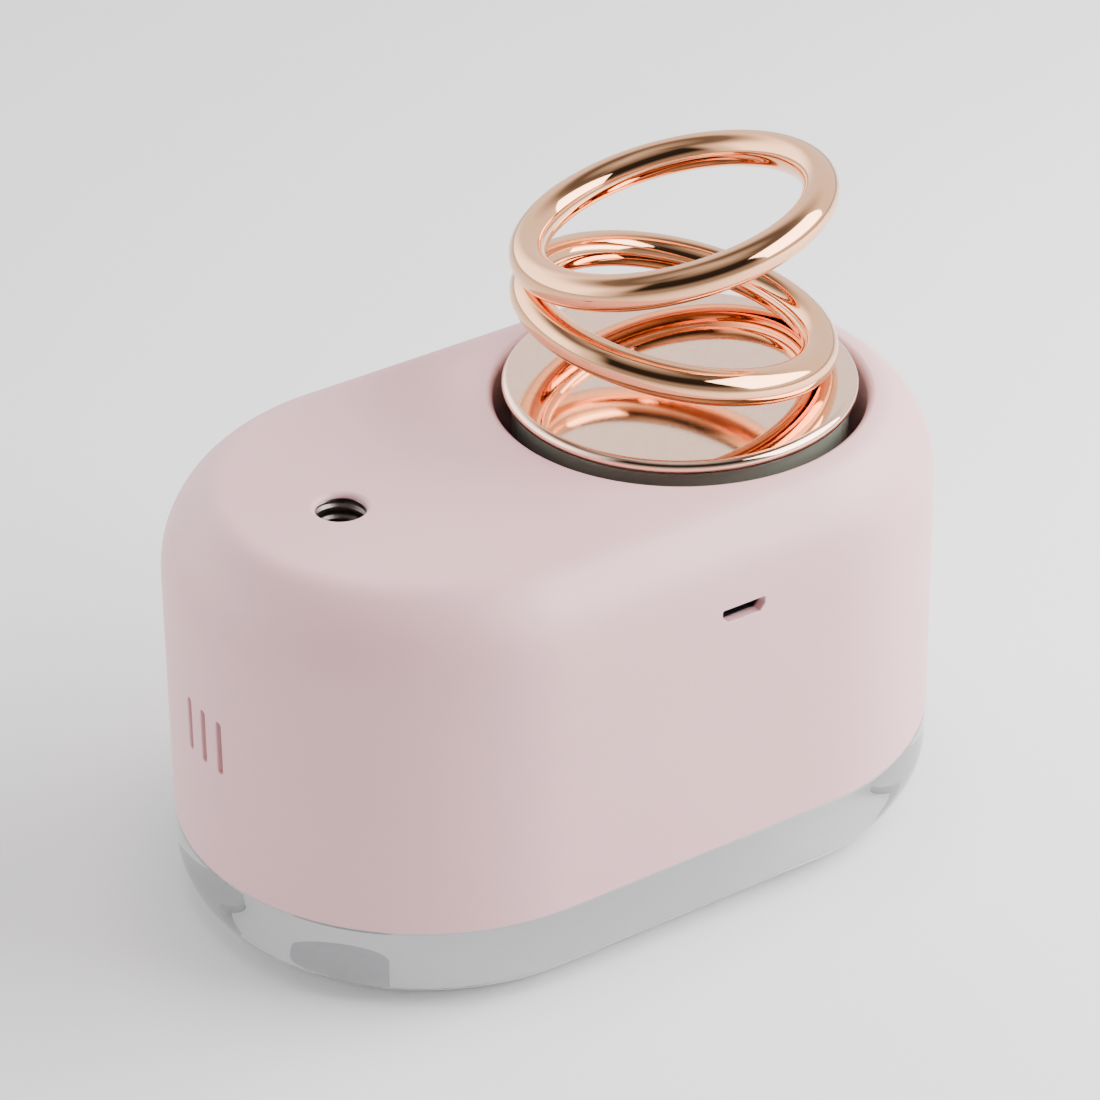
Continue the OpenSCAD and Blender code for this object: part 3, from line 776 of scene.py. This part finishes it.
def make_grip_pad():
    """The flat ring that the jar stands on in the dish."""
    _, low, high = round_box("grip_pad")
    inside, outside, edge = 12, 26, 0.2
    profile = [(inside, low), (outside, low), (outside, high - edge), (25.8, high), (12.2, high)]
    profile += [(inside, high - edge)]
    pad = lathe("grip_ring", profile, WELL_AT, closed=True)
    finish_shading(pad)
    stand_for(pad, "grip_pad")


def make_jar():
    """The thick tinted glass cup, with a slightly raised base and a rounded rim."""
    radius, low, high = round_box("glass_jar")
    inside, foot, rim, floor_z = radius - 2.3, 2.5, 0.7, low + 3
    profile = [(0, low + 0.5), (14, low + 0.5), (17, low), (radius - foot, low)]
    profile += arc(radius - foot, low + foot, foot, -90, 0, 12)[1:]
    profile += arc(radius - rim, high - rim, rim, 0, 90, 6) + arc(inside + rim, high - rim, rim, 90, 180, 6)
    profile += arc(inside - foot, low + 5.5, foot, 0, -90, 12) + [(0, floor_z)]
    jar = lathe("scent_jar", profile, WELL_AT, 256)
    finish_shading(jar)
    stand_for(jar, "glass_jar")


def make_stone():
    """The scented cake in the jar, with a shallow dish in its top."""
    _, low, high = round_box("scent_stone")
    profile = [(0, low), (18, low)] + arc(18, low + 1, 1, -60, 0, 4) + arc(18, high - 1, 1, 0, 90, 6)
    profile += [(13, high), (12.2, high - 0.5), (4, high - 0.6), (0, high - 0.6)]
    stone = lathe("scent_cake", profile, WELL_AT, 128)
    finish_shading(stone)
    stand_for(stone, "scent_stone")


def make_disc():
    """The rose-gold plate on the jar, with a full round edge."""
    radius, low, high = round_box("lid_disc")
    half = (high - low) / 2
    profile = [(0, low), (radius - half, low)] + arc(radius - half, low + half, half, -90, 90, 24)[1:]
    disc = lathe("lid_plate", profile + [(0, high)], WELL_AT, 320)
    finish_shading(disc)
    stand_for(disc, "lid_disc")


def make_seal():
    """The soft plug under the disc, with three ribs that grip the jar."""
    radius, low, high = round_box("lid_seal")
    inside, rib = 21.4, 0.55
    profile = [(inside, high), (inside, low + 0.3), (21.7, low), (22.5, low)]
    for k in range(3):
        z = low + 1.0 + 1.15 * k
        profile += [(radius - rib, z - 0.35), (radius, z), (radius, z + 0.2), (radius - rib, z + 0.5)]
    seal = lathe("lid_gasket", profile + [(radius - 0.3, high)], WELL_AT, closed=True)
    finish_shading(seal)
    stand_for(seal, "lid_seal")


def make_rings():
    """The two polished rings, each leaning its own way."""
    for name, tilt in RING_TILTS.items():
        ring = torus(f"{name}_polished", middle(name), RING_R, RING_TUBE, *tilt)
        stand_for(ring, name)


for make in (make_shell, make_well_liner, make_base, make_film, make_feet, make_insert, make_button,
             make_turntable, make_grip_pad, make_jar, make_stone, make_disc, make_seal, make_rings):
    make()

# ---------------------------------------------------------------- CAD nodes that show as they are

for name, node in frame["nodes"].items():
    if not node.hide_render:
        dress(node, SLOT_OF[name])

# ---------------------------------------------------------------- floor, light and camera


def make_floor():
    bpy.ops.mesh.primitive_plane_add(size=12, location=(0, 0, -0.00002))
    floor = bpy.context.object
    floor.name = "floor"
    look = Nodes("pale_floor")
    look.colour(look.ramp(look.noise(3, 3), [(0.3, (0.91, 0.91, 0.91)), (0.7, (0.93, 0.93, 0.93))]))
    look.set(Roughness=0.6, Specular_IOR_Level=0.2)
    floor.data.materials.append(look.material)


def direction(azimuth, elevation):
    """Unit vector towards a place round the object; azimuth 0 is the -Y side and 90 the +X side."""
    a, e = math.radians(azimuth), math.radians(elevation)
    return Vector((math.sin(a) * math.cos(e), -math.cos(a) * math.cos(e), math.sin(e)))


def softbox(name, azimuth, elevation, distance, width, height, power):
    """An area light that faces the object from this side."""
    lamp = bpy.data.lights.new(name, "AREA")
    lamp.shape = "RECTANGLE"
    lamp.size, lamp.size_y = width, height
    lamp.energy = power
    obj = bpy.data.objects.new(name, lamp)
    bpy.context.scene.collection.objects.link(obj)
    back = direction(azimuth, elevation)
    obj.location = back * distance + Vector((0, 0, 0.05))
    obj.rotation_mode = "QUATERNION"
    obj.rotation_quaternion = back.to_track_quat("Z", "Y")
    obj.visible_camera = False
    return obj


def make_lights():
    """The key doesn't light matt surfaces, and the other three don't show in glossy ones."""
    key = softbox("key", 52, 33, 0.58, 0.6, 0.45, 7.0)
    key.visible_diffuse = False
    for lamp in (softbox("wash", 60, 33, 0.58, 0.6, 0.45, 7.6),
                 softbox("top", 0, 86, 1.0, 0.6, 0.6, 4.5),
                 softbox("side", 76, 34, 0.36, 0.22, 0.22, 0.6)):
        lamp.visible_glossy = False


# Brightness of each side of the studio: (elevation in degrees, level)
PANEL = [(0, 3.9), (24, 3.6), (32, 2.7), (40, 1.2), (48, 0.3), (56, 0.22), (66, 0.5), (76, 0.8), (90, 1.1)]
FRONT_WALL = [(0, 0.5), (12, 0.45), (19, 0.2), (26, 0.03), (50, 0.04), (58, 0.25), (66, 0.4), (76, 0.7),
              (90, 1.1)]
RIGHT_WALL = [(0, 1.5), (30, 1.5), (38, 1.2), (46, 0.8), (54, 0.3), (62, 0.18), (68, 0.2), (76, 0.5),
              (90, 1.0)]


def make_studio():
    """A bright panel behind on the left, a dark front, and paler walls on the right under a soft ceiling."""
    studio = bpy.data.worlds.new("studio")
    studio.use_nodes = True
    tree = studio.node_tree
    background = tree.nodes["Background"]
    coords = tree.nodes.new("ShaderNodeTexCoord")
    parts = tree.nodes.new("ShaderNodeSeparateXYZ")
    tree.links.new(coords.outputs["Generated"], parts.inputs[0])

    def math_node(kind, a, b=None):
        node = tree.nodes.new("ShaderNodeMath")
        node.operation = kind
        for i, value in enumerate((a, b)):
            if value is None:
                continue
            if isinstance(value, (int, float)):
                node.inputs[i].default_value = value
            else:
                tree.links.new(value, node.inputs[i])
        return node.outputs[0]

    def step(value, low, high):
        node = tree.nodes.new("ShaderNodeMapRange")
        node.interpolation_type = "SMOOTHSTEP"
        node.inputs["From Min"].default_value = low
        node.inputs["From Max"].default_value = high
        tree.links.new(value, node.inputs["Value"])
        return node.outputs["Result"]

    # Elevation as a fraction of a right angle, and azimuth in radians
    height = math_node("DIVIDE", math_node("ARCSINE", parts.outputs["Z"]), math.pi / 2)
    across = math_node("ARCTAN2", parts.outputs["X"], math_node("MULTIPLY", parts.outputs["Y"], -1))

    strength = 4.0

    def wall(stops):
        """Brightness by elevation; a ramp's colours stay under 1, so they are divided by the strength."""
        ramp = tree.nodes.new("ShaderNodeValToRGB")
        tree.links.new(height, ramp.inputs["Fac"])
        elements = ramp.color_ramp.elements
        while len(elements) < len(stops):
            elements.new(0.5)
        for element, (elevation, level) in zip(elements, stops):
            element.position = elevation / 90
            shade = level / strength
            element.color = (shade, shade, shade, 1)
        return ramp.outputs["Color"]

    def sector(azimuth, edge, core):
        """1 within core degrees of this azimuth, falling to 0 at edge degrees."""
        turned = math_node("COSINE", math_node("SUBTRACT", across, math.radians(azimuth)))
        return step(turned, math.cos(math.radians(edge)), math.cos(math.radians(core)))

    def blend(weight, inside, outside):
        kept = math_node("MULTIPLY", outside, math_node("SUBTRACT", 1, weight))
        return math_node("ADD", math_node("MULTIPLY", inside, weight), kept)

    level = blend(sector(-145, 55, 25), wall(PANEL), wall(RIGHT_WALL))
    level = blend(sector(-30, 62, 42), wall(FRONT_WALL), level)
    tree.links.new(level, background.inputs["Color"])
    background.inputs["Strength"].default_value = strength
    bpy.context.scene.world = studio


# The photograph's viewing angle, with the focal length in widths of the picture
CAMERA = {"azimuth": -34.03, "elevation": 31.47, "roll": -0.59, "distance": 0.74977,
          "target": (-0.00072, 0, 0.04905)}
SENSOR = 36
FOCAL_WIDTHS = 4.381464


def make_camera():
    data = bpy.data.cameras.new("camera")
    data.sensor_width = SENSOR
    data.lens = FOCAL_WIDTHS * data.sensor_width
    data.clip_start, data.clip_end = 0.05, 30
    camera = bpy.data.objects.new("camera", data)
    bpy.context.scene.collection.objects.link(camera)
    back = direction(CAMERA["azimuth"], CAMERA["elevation"])
    right = (-back).cross(Vector((0, 0, 1))).normalized()
    up = right.cross(-back)
    roll = math.radians(CAMERA["roll"])
    side = math.cos(roll) * right + math.sin(roll) * up
    rise = math.cos(roll) * up - math.sin(roll) * right
    matrix = Matrix((side, rise, back)).transposed().to_4x4()
    matrix.translation = Vector(CAMERA["target"]) + back * CAMERA["distance"]
    camera.matrix_world = matrix
    bpy.context.scene.camera = camera


make_floor()
make_lights()
make_studio()
make_camera()
